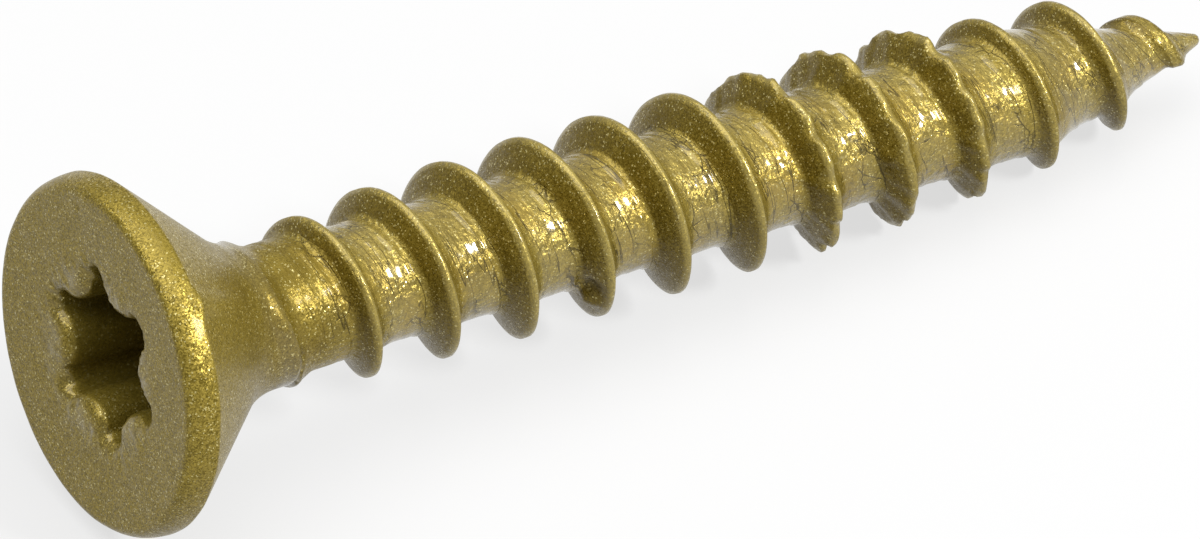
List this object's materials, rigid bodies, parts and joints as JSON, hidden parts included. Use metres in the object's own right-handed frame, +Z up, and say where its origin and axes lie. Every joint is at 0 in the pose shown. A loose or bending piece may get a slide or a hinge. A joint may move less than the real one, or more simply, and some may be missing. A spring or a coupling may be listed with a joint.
{
  "type": "countersunk wood screw",
  "caption": "Countersunk wood screw with a six-lobe recess, short neck, coarse thread serrated near the end, and a gimlet point.",
  "frame": {"origin": "under the middle of the lying screw, on the surface that it lies on", "axes": "+X from the head to the point along the ground, +Z up; the screw's own axis slopes down to the point by 5.7 degrees"},
  "size_m": [0.0302, 0.0086, 0.0086],
  "materials": {
    "coated_steel": "olive-gold metallic flake coating over hardened steel, satin"
  },
  "bodies": {
    "root": {"screw": "coated_steel"}
  },
  "joints": []
}
